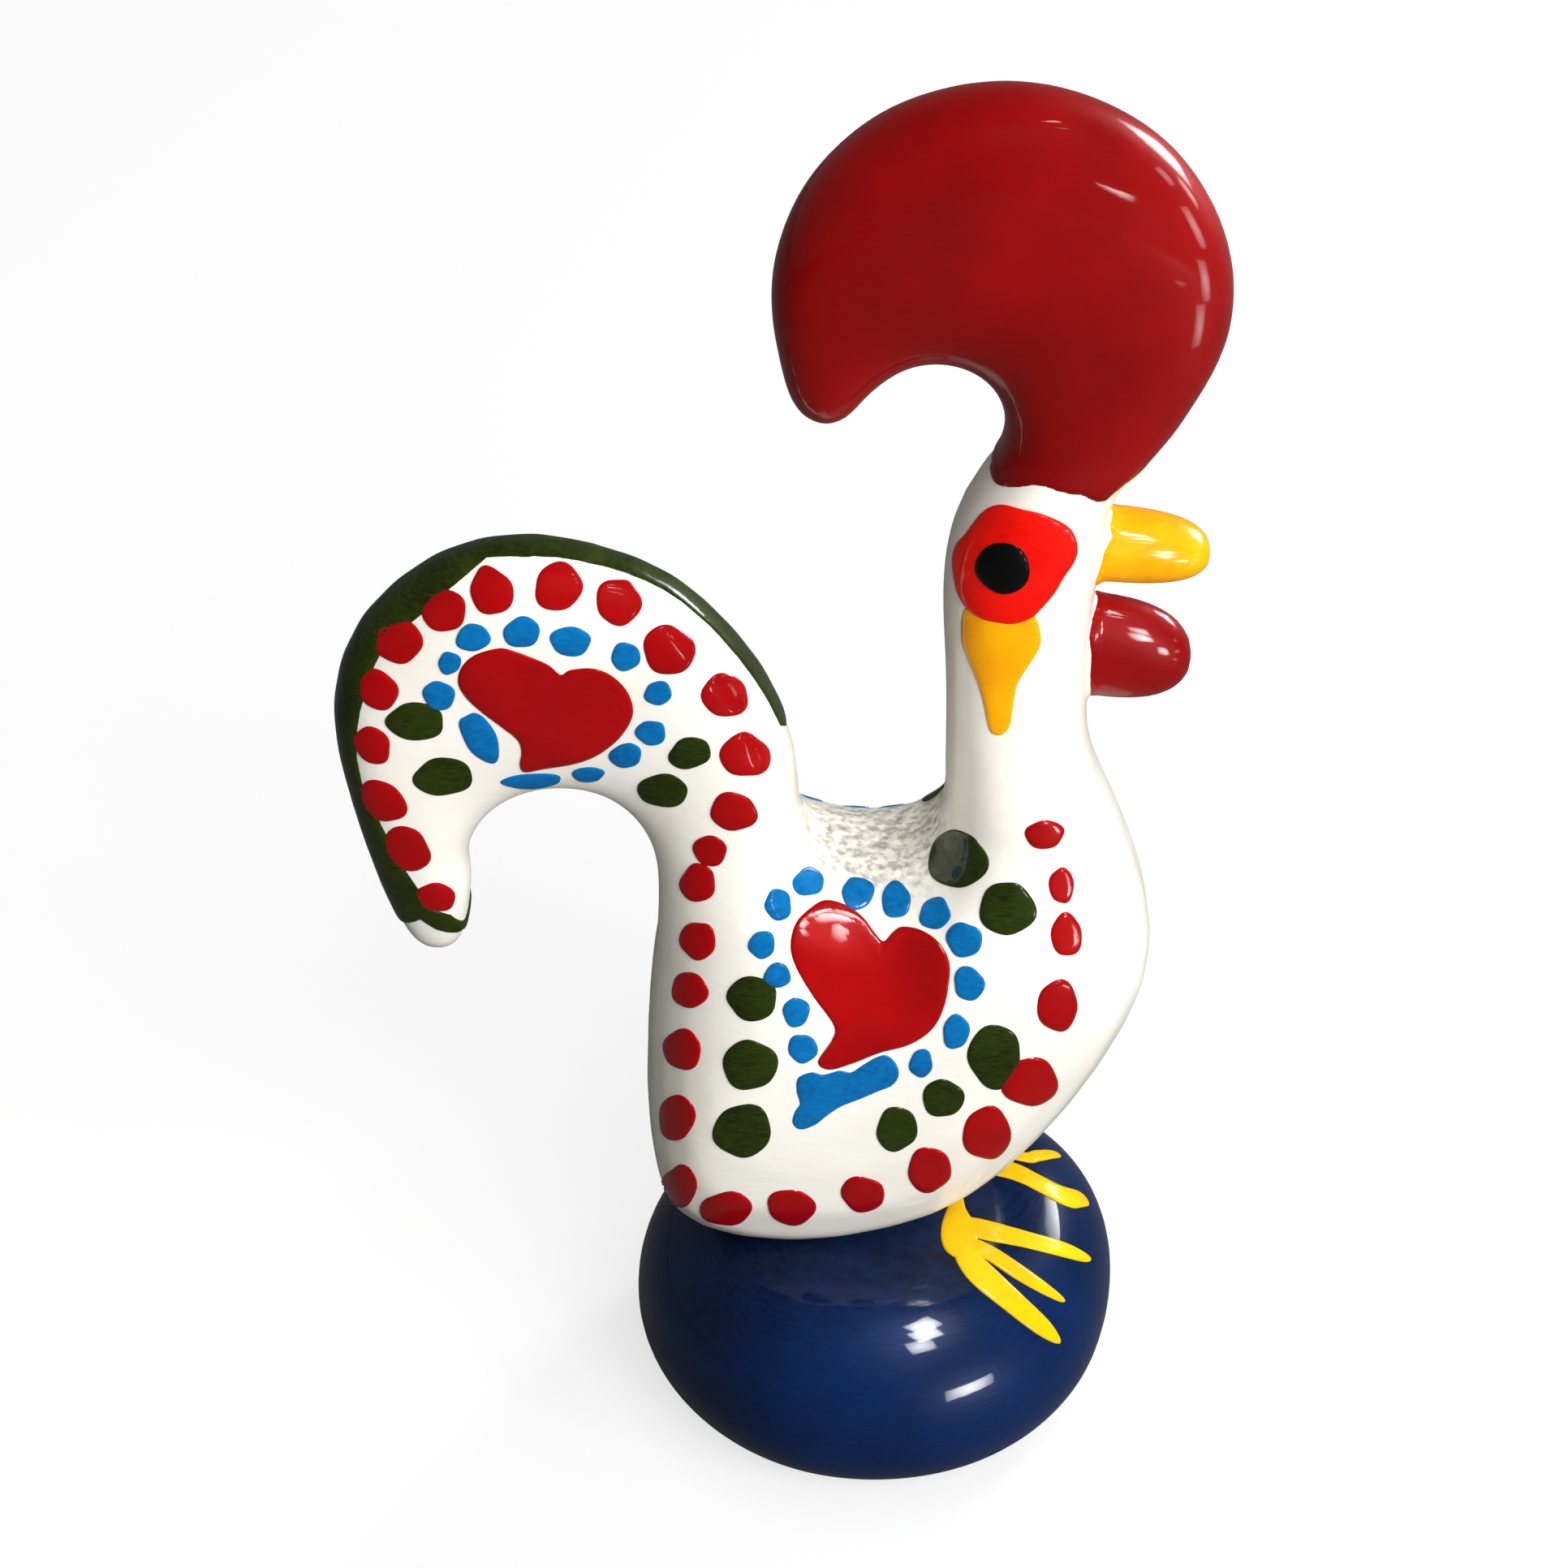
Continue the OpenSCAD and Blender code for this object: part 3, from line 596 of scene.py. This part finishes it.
brushEnd = {  # how a touch of a brush's end leaves an oval
    "waves": ((2, 0.6), (3, 0.5), (5, 0.35)),  # how many go round, and their shares of the wobble
    "peak": (-0.08, 0.11), "peakAt": (0.9, 2.4), "peakWidth": 0.33,  # where the brush came off
}


def handOval(centre, halfWidth, halfHeight, turn, rng, wobble, count=48):
    # an oval with a slow wobble, and on some a small peak
    phases = [rng.uniform(0, 2 * math.pi) for _ in brushEnd["waves"]]
    peak, peakAt = rng.uniform(*brushEnd["peak"]), rng.uniform(*brushEnd["peakAt"])
    outline = []
    for k in range(count):
        a = 2 * math.pi * k / count
        r = 1 + wobble * sum(share * math.sin(waves * a + phase)
                             for (waves, share), phase in zip(brushEnd["waves"], phases))
        r += max(0, peak) * math.exp(-((a - peakAt) / brushEnd["peakWidth"]) ** 2)
        x, y = halfWidth * r * math.cos(a), halfHeight * r * math.sin(a)
        c, s = math.cos(turn), math.sin(turn)
        outline.append((centre[0] + x * c - y * s, centre[1] - x * s - y * c))
    return outline


def onCurve(a, b, c, d, t):  # on a smooth curve through four values, this far on from b to c
    return 0.5 * (2 * b + (c - a) * t + (2 * a - 5 * b + 4 * c - d) * t * t
                  + (3 * b - a - 3 * c + d) * t ** 3)


def smoothOutline(points, count):  # a closed, smooth curve through the points given, evenly cut
    total = len(points)
    outline = []
    for k in range(count):
        u = k * total / count
        i = int(u)
        near = (points[(i + j) % total] for j in (-1, 0, 1, 2))
        outline.append(tuple(onCurve(*values, u - i) for values in zip(*near)))
    return outline


shapePoints = 120
dotDisc = markTemplate(36)
shapeDisc = markTemplate(shapePoints)
sides = {"Right": -1, "Left": 1}

leftHand = {  # how the looser hand moves the marks on the left, in pixels of the photograph
    "head": (1150, 960), "headForward": 16,
    "tail": (945, 1130), "tailMiddle": (690, 900), "tailScale": 0.9,
    "body": (900, 1000), "bodyLower": 48, "bodyLowerAbove": 1290, "bodyLowerOver": 190,
    "wander": 4,
    "instead": {(1314, 1152): (1364, 1180, 17, 32, 6)},  # the dot at the breast's edge
}


def placeOn(x, y, side):
    # on the left the eye is further forward, the tail's marks smaller, the body's a little lower
    if side < 0:
        return x, y
    if x > leftHand["head"][0] and y < leftHand["head"][1]:
        return x + leftHand["headForward"], y
    if x < leftHand["tail"][0] and y < leftHand["tail"][1]:
        (middleX, middleY), scale = leftHand["tailMiddle"], leftHand["tailScale"]
        return middleX + scale * (x - middleX), middleY + scale * (y - middleY)
    if x > leftHand["body"][0] and y > leftHand["body"][1]:
        share = min(1, max(0, (leftHand["bodyLowerAbove"] - y) / leftHand["bodyLowerOver"]))
        return x, y + leftHand["bodyLower"] * share
    return x, y


def dotGroup(name, places, material, slot, node, thickness):
    for sideName, side in sides.items():
        rng = random.Random(name + sideName)
        wander = 0 if side < 0 else leftHand["wander"]
        marks = []
        for place in places:
            if side > 0:
                place = leftHand["instead"].get(place[:2], place)
            x, y = placeOn(*place[:2], side)
            x, y = x + rng.uniform(-wander, wander), y + rng.uniform(-wander, wander)
            turn = math.radians(place[4]) if len(place) > 4 else 0
            outline = handOval((x, y), place[2], place[3], turn, rng, wobble=0.07)
            marks.append(daub(dotDisc, outline, (x, y), side, thickness))
        piece = joinAll(marks, name + sideName)
        finishPiece(piece, paints[material], slot, node + "_" + sideName.lower())


tailRed = [(548, 753, 27, 26), (606, 729, 27, 29), (688, 723, 30, 30), (762, 742, 28, 29),
           (824, 801, 32, 31), (893, 857, 29, 27), (918, 931, 31, 27), (904, 1000, 29, 24),
           (875, 1048, 21, 19), (860, 1088, 23, 23), (488, 788, 34, 28, -35),
           (465, 849, 28, 23, -40), (459, 918, 26, 20, -40), (471, 987, 31, 24, -28),
           (501, 1046, 32, 25, -25), (537, 1105, 24, 18, -8)]
bodyRed = [(860, 1159, 22, 24), (850, 1220, 22, 23), (841, 1293, 24, 25), (834, 1377, 22, 29),
           (837, 1462, 22, 26), (895, 1489, 32, 21), (975, 1487, 30, 22), (1063, 1471, 27, 22),
           (1145, 1441, 28, 27), (1216, 1396, 29, 34), (1269, 1333, 34, 31), (1303, 1239, 26, 31),
           (1314, 1152, 20, 26), (1308, 1091, 15, 23), (1287, 1028, 24, 18)]
tailBlue = [(583, 786, 21, 17), (643, 779, 23, 19), (703, 790, 26, 18), (771, 809, 19, 17),
            (811, 854, 17, 15), (802, 903, 19, 15), (771, 931, 20, 15), (725, 954, 20, 9),
            (655, 962, 38, 9, 2), (592, 909, 20, 33, 33), (541, 857, 20, 18), (554, 817, 14, 14)]
bodyBlue = [(996, 1087, 20, 17), (959, 1115, 17, 19), (939, 1164, 16, 18), (958, 1202, 16, 16),
            (981, 1247, 16, 19), (989, 1292, 18, 18), (1135, 1310, 15, 17), (1178, 1271, 17, 21),
            (1194, 1212, 19, 21), (1188, 1158, 22, 22, -35), (1152, 1126, 20, 19),
            (1104, 1109, 19, 22), (1057, 1101, 20, 20)]
tailGreen = [(512, 889, 37, 23, -5), (546, 957, 36, 24), (850, 928, 27, 19, 8),
             (817, 974, 32, 20)]
bodyGreen = [(1180, 1060, 36, 36), (1241, 1120, 34, 34), (927, 1230, 32, 27), (924, 1312, 33, 32),
             (915, 1393, 35, 34), (1226, 1302, 34, 39), (1162, 1353, 25, 24),
             (1105, 1391, 26, 27)]

for name, places, paint, slot, node in (
        ("tailRedDots", tailRed, "red", "red_enamel", "tail_red_dots"),
        ("bodyRedDots", bodyRed, "red", "red_enamel", "body_red_dots"),
        ("tailBlueDots", tailBlue, "blue", "blue_enamel", "tail_blue_dots"),
        ("tailGreenDots", tailGreen, "green", "green_enamel", "tail_green_dots"),
        ("bodyGreenDots", bodyGreen, "green", "green_enamel", "body_green_dots")):
    dotGroup(name, places, paint + "Enamel", slot, node, paintHeights[paint + "Dot"])
print("dots ready")

heartTail = [(614, 798), (585, 806), (568, 821), (563, 840), (572, 858), (592, 877), (616, 895),
             (637, 912), (642, 927), (640, 943), (646, 952), (670, 948), (707, 942), (735, 932),
             (759, 915), (775, 895), (781, 877), (777, 858), (766, 842), (749, 829), (729, 823),
             (703, 825), (691, 831), (676, 819), (651, 808), (631, 801)]
heartBody = [(1016, 1108), (995, 1120), (979, 1138), (973, 1166), (981, 1194), (1002, 1229),
             (1027, 1264), (1024, 1283), (1007, 1309), (1021, 1319), (1051, 1311), (1084, 1298),
             (1121, 1288), (1149, 1269), (1164, 1241), (1171, 1204), (1169, 1180), (1156, 1159),
             (1135, 1145), (1112, 1141), (1100, 1148), (1089, 1159), (1079, 1150), (1063, 1129),
             (1042, 1114)]
smear = [(983, 1328), (1000, 1321), (1014, 1324), (1035, 1319), (1049, 1321), (1062, 1313),
         (1079, 1303), (1093, 1300), (1105, 1311), (1108, 1325), (1100, 1337), (1081, 1345),
         (1060, 1354), (1037, 1363), (1021, 1373), (1004, 1386), (986, 1392), (976, 1384),
         (979, 1370), (985, 1360), (981, 1344)]


def turnedToStart(points, centre):  # begins at the point straight to the right of the centre
    angles = [math.atan2(-(p[1] - centre[1]), p[0] - centre[0]) for p in points]
    first = min(range(len(points)), key=lambda k: abs(angles[k]))
    ordered = points[first:] + points[:first]
    area = sum(a[0] * b[1] - b[0] * a[1] for a, b in zip(ordered, ordered[1:] + ordered[:1]))
    if area > 0:  # the photograph's y runs down, so a positive area runs clockwise to the eye
        ordered = [ordered[0]] + ordered[:0:-1]
    return ordered


def shape(points, centre, thickness, side, lift=0.0):
    placed = [placeOn(x, y, side) for x, y in points]
    centre = placeOn(*centre, side)
    outline = smoothOutline(turnedToStart(placed, centre), shapePoints)
    return daub(shapeDisc, outline, centre, side, thickness, lift)


for sideName, side in sides.items():
    low = sideName.lower()
    piece = joinAll([shape(heartTail, (680, 880), paintHeights["heart"], side)],
                    "tailHeart" + sideName)
    finishPiece(piece, paints["redEnamel"], "red_enamel", "tail_heart_" + low)
    piece = joinAll([shape(heartBody, (1080, 1215), paintHeights["heart"], side)],
                    "bodyHeart" + sideName)
    finishPiece(piece, paints["redEnamel"], "red_enamel", "body_heart_" + low)
    rng = random.Random("bodyBlue" + sideName)
    marks = [shape(smear, (1040, 1340), paintHeights["smear"], side)]
    for x, y, wide, tall, *turned in bodyBlue:
        x, y = placeOn(x, y, side)
        turn = math.radians(turned[0] if turned else 0)
        outline = handOval((x, y), wide, tall, turn, rng, wobble=0.08)
        marks.append(daub(dotDisc, outline, (x, y), side, paintHeights["blueDot"]))
    piece = joinAll(marks, "bodyBlueDots" + sideName)
    finishPiece(piece, paints["blueEnamel"], "blue_enamel", "body_blue_dots_" + low)

eyePatch = [(1227, 622), (1240, 622), (1259, 627), (1281, 632), (1302, 640), (1318, 650),
            (1326, 663), (1327, 679), (1322, 693), (1310, 711), (1299, 730), (1283, 749),
            (1270, 761), (1249, 768), (1227, 766), (1208, 761), (1192, 749), (1181, 730),
            (1176, 706), (1175, 686), (1180, 670), (1190, 659), (1201, 644), (1213, 630)]
lobe = [(1250, 752), (1230, 746), (1208, 748), (1190, 748), (1185, 760), (1184, 773), (1185, 792),
        (1192, 811), (1203, 837), (1212, 867), (1217, 893), (1222, 904), (1230, 907), (1238, 904),
        (1245, 893), (1249, 867), (1254, 843), (1267, 821), (1279, 802), (1283, 789), (1281, 773),
        (1276, 760), (1266, 752)]
pupil = {"at": (1237, 698), "halfSizes": (34, 32), "wobble": 0.03}

for sideName, side in sides.items():
    low = sideName.lower()
    rng = random.Random("eye" + sideName)
    piece = joinAll([shape(lobe, (1234, 800), paintHeights["earLobe"], side)], "earLobe" + sideName)
    finishPiece(piece, paints["yellowEnamel"], "yellow_enamel", "ear_lobe_" + low)
    piece = joinAll([shape(eyePatch, (1250, 696), paintHeights["eyePatch"], side,
                           paintHeights["eyePatchLift"])], "eyePatch" + sideName)
    finishPiece(piece, paints["orangeEnamel"], "orange_enamel", "eye_patch_" + low)
    outline = handOval(pupil["at"], *pupil["halfSizes"], 0, rng, pupil["wobble"])
    piece = joinAll([daub(dotDisc, outline, pupil["at"], side, paintHeights["pupil"],
                          paintHeights["pupilLift"])], "pupil" + sideName)
    finishPiece(piece, paints["blackEnamel"], "black_enamel", "pupil_" + low)
print("hearts and eyes ready")

# The feet are brush strokes on the base: places of the photograph and the half width there, the
# left foot's in its own side's view. Two of its toes show past the body, as in the photograph.

feet = {
    "Right": [
        [(1184, 1471, 4), (1179, 1490, 12), (1180, 1511, 21), (1184, 1532, 22), (1192, 1552, 9)],
        [(1176, 1504, 8), (1207, 1514, 12), (1262, 1527, 10), (1310, 1540, 9), (1344, 1553, 6)],
        [(1184, 1530, 10), (1217, 1543, 9), (1260, 1571, 9), (1312, 1604, 5)],
        [(1176, 1530, 10), (1203, 1564, 16), (1250, 1606, 14), (1285, 1636, 11), (1306, 1655, 5)],
    ],
    "Left": [
        [(1180, 1460, 5), (1176, 1478, 13), (1178, 1500, 19), (1186, 1524, 13)],
        [(1180, 1486, 8), (1236, 1479, 10), (1284, 1476, 9), (1316, 1489, 7), (1345, 1524, 4)],
        [(1184, 1505, 8), (1259, 1498, 6), (1287, 1513, 6), (1317, 1547, 4)],
        [(1180, 1514, 10), (1215, 1536, 12), (1262, 1582, 11), (1294, 1626, 5)],
    ],
}


def stroke(path, side):
    def along(t):  # place, half width and direction at this share of the path
        u = min(max(t, 0), 0.9999) * (len(path) - 1)
        i = int(u)
        a, b, c, d = (path[min(max(i + j, 0), len(path) - 1)] for j in (-1, 0, 1, 2))
        f = u - i
        slope = [0.5 * ((c[m] - a[m]) + 2 * (2 * a[m] - 5 * b[m] + 4 * c[m] - d[m]) * f
                        + 3 * (3 * b[m] - a[m] - 3 * c[m] + d[m]) * f * f) for m in range(2)]
        here = [onCurve(*values, f) for values in zip(a, b, c, d)]
        return here, Vector(slope).normalized()

    mesh = shapeDisc.data.copy()
    for vertex in mesh.vertices:
        share, height = paintProfile[round(vertex.co.length * (len(paintProfile) - 1))]
        turn = math.atan2(vertex.co.y, vertex.co.x)
        u, v = share * math.cos(turn), share * math.sin(turn)
        (x, y, width), direction = along(0.5 + 0.5 * u)
        across = v / math.sqrt(max(0.02, 1 - u * u)) * width * math.sqrt(1 - u ** 6)
        x, y = x - direction.y * across, y + direction.x * across
        origin, ray = sightLine(x, y, side)
        spot, normal, _, _ = baseTree.ray_cast(origin, ray)
        if spot is None:
            spot, normal, _, _ = baseTree.find_nearest(origin + ray * view["distance"])
        vertex.co = spot + normal * paintHeights["foot"] * height * mm
    mark = bpy.data.objects.new("stroke", mesh)
    bpy.context.collection.objects.link(mark)
    return mark


for sideName, strokes in feet.items():
    piece = joinAll([stroke(path, sides[sideName]) for path in strokes], "paintedFoot" + sideName)
    finishPiece(piece, paints["footEnamel"], "yellow_enamel", "painted_foot_" + sideName.lower())

finishPiece(bird, paints["ivoryEnamel"], "ivory_enamel",
            "body_right_shell", "body_left_shell", "neck_and_head", "tail")
finishPiece(base, paints["navyEnamel"], "navy_enamel", "base_bell")
finishPiece(comb, paints["combEnamel"], "red_enamel", "comb")
finishPiece(beak, paints["yellowEnamel"], "yellow_enamel", "beak")
finishPiece(wattle, paints["combEnamel"], "red_enamel", "wattle")
finishPiece(tailEdge, paints["greenEnamel"], "green_enamel", "tail_edge_band")
for template in (dotDisc, shapeDisc):
    bpy.data.objects.remove(template)
print("pieces finished")

# Floor and light

studio = {
    "floorSize": 1.1,
    "floorSeen": "#FFFFFF",
    "floorBounce": "#6C6C6A",
    "floorGlow": 0.7,
    "ambient": 0.17,
    "aim": Vector((0, 0, 0.05)),
    # Softboxes that the glaze doesn't mirror: azimuth and elevation from the rooster in degrees,
    # distance, width and height in metres, and watts
    "softboxes": {
        "frontRightBox": (-48, 3, 0.55, 0.12, 0.05, 1.0),
        "frontFill": (-66, 42, 0.70, 0.50, 0.40, 4.4),
        "rightStrip": (-30, 10, 0.50, 0.025, 0.30, 0.6),
        "overheadStrip": (4, 72, 0.60, 0.30, 0.05, 0.9),
        "backRightBox": (46, 23, 0.60, 0.14, 0.24, 1.6),
    },
    # Panes that only the glaze mirrors, each gridded so that only one place shows it: that place
    # in mm, azimuth, elevation, distance, width and height in metres, how far its light fans out
    # to each side in degrees, and brightness
    "panes": {
        "combWindow": ((22.2, -0.8, 97.3), 36, 19, 0.25, 0.130, 0.110, 17, 52),
        "combPaneA": ((23.0, -2.2, 95.7), -11, 22, 0.15, 0.030, 0.026, 9, 10),
        "combPaneB": ((24.7, -1.7, 94.4), 11, 11, 0.15, 0.030, 0.030, 9, 16),
        "combPaneC": ((24.9, -2.5, 92.7), -17, 3, 0.15, 0.036, 0.034, 9, 14),
        "combPaneD": ((25.8, -3.0, 89.3), -27, -13, 0.15, 0.036, 0.036, 9, 14),
        "combPaneE": ((25.6, -3.4, 86.5), -36, -26, 0.13, 0.030, 0.030, 9, 12),
        "baseWindowHigh": ((10.7, -12.3, 13.9), -43, 66, 0.25, 0.045, 0.045, 8, 80),
        "baseWindowMiddle": ((10.6, -12.9, 13.5), -50, 59, 0.25, 0.045, 0.045, 9, 80),
        "baseWindowLow": ((10.5, -13.4, 13.1), -59, 51, 0.25, 0.045, 0.045, 9, 50),
        "tableEdge": ((13.9, -15.2, 8.6), -47, 4, 0.14, 0.060, 0.024, 14, 60),
        "beakPane": ((25.3, -2.2, 69.2), -64, 9, 0.12, 0.034, 0.036, 8, 70),
        "wattlePaneHigh": ((23.3, -2.0, 63.0), -60, 21, 0.12, 0.026, 0.026, 8, 50),
        "wattlePaneLow": ((25.4, -1.8, 61.3), -53, -8, 0.12, 0.026, 0.026, 8, 50),
    },
}

deselectAll()
bpy.ops.mesh.primitive_plane_add(size=studio["floorSize"], location=(0, 0, 0))
floor = bpy.context.object
floor.name = "floor"
floorMaterial, tree = newMaterial("paperFloor")
seen = addNode(tree, "ShaderNodeLightPath").outputs["Is Camera Ray"]
tint = mixColours(tree, seen, hexColour(studio["floorBounce"]), hexColour(studio["floorSeen"]))
matte = addNode(tree, "ShaderNodeBsdfDiffuse", {"Color": tint})
glow = addNode(tree, "ShaderNodeEmission", {"Color": (1, 1, 1, 1), "Strength": 1.0})
both = addNode(tree, "ShaderNodeMixShader", {
    0: multiplied(tree, seen, studio["floorGlow"]), 1: matte.outputs[0], 2: glow.outputs[0]})
addNode(tree, "ShaderNodeOutputMaterial", {"Surface": both.outputs[0]})
floor.data.materials.append(floorMaterial)


def lampAt(name, place, azimuth, elevation, distance, width, height, watts):
    deselectAll()
    around, above = math.radians(azimuth), math.radians(elevation)
    away = Vector((math.cos(above) * math.cos(around), math.cos(above) * math.sin(around),
                   math.sin(above)))
    bpy.ops.object.light_add(type="AREA", location=place + distance * away)
    lamp = bpy.context.object
    lamp.name = name
    lamp.data.shape = "RECTANGLE"
    lamp.data.size = width
    lamp.data.size_y = height
    lamp.data.energy = watts
    lamp.rotation_euler = away.to_track_quat("Z", "Y").to_euler()
    lamp.visible_camera = False
    return lamp


for name, box in studio["softboxes"].items():
    lampAt(name, studio["aim"], *box).visible_glossy = False
for name, (place, *direction, distance, width, height, fan, brightness) in studio["panes"].items():
    fan = math.radians(fan)
    gridGain = math.tan(fan) / (math.tan(fan) - fan)
    watts = brightness * math.pi * width * height / gridGain
    pane = lampAt(name, Vector(place) * mm, *direction, distance, width, height, watts)
    pane.data.spread = 2 * fan
    pane.visible_diffuse = False

world = bpy.data.worlds.new("studio")
bpy.context.scene.world = world
world.use_nodes = True
tree = world.node_tree
tree.nodes.clear()
seen = addNode(tree, "ShaderNodeLightPath").outputs["Is Camera Ray"]
ambient = addNode(tree, "ShaderNodeBackground", {
    "Color": (1, 1, 1, 1), "Strength": studio["ambient"]})
white = addNode(tree, "ShaderNodeBackground", {"Color": (1, 1, 1, 1), "Strength": 1.0})
both = addNode(tree, "ShaderNodeMixShader", {0: seen, 1: ambient.outputs[0], 2: white.outputs[0]})
addNode(tree, "ShaderNodeOutputWorld", {"Surface": both.outputs[0]})
bpy.context.scene.view_settings.view_transform = "Standard"
print("studio ready")
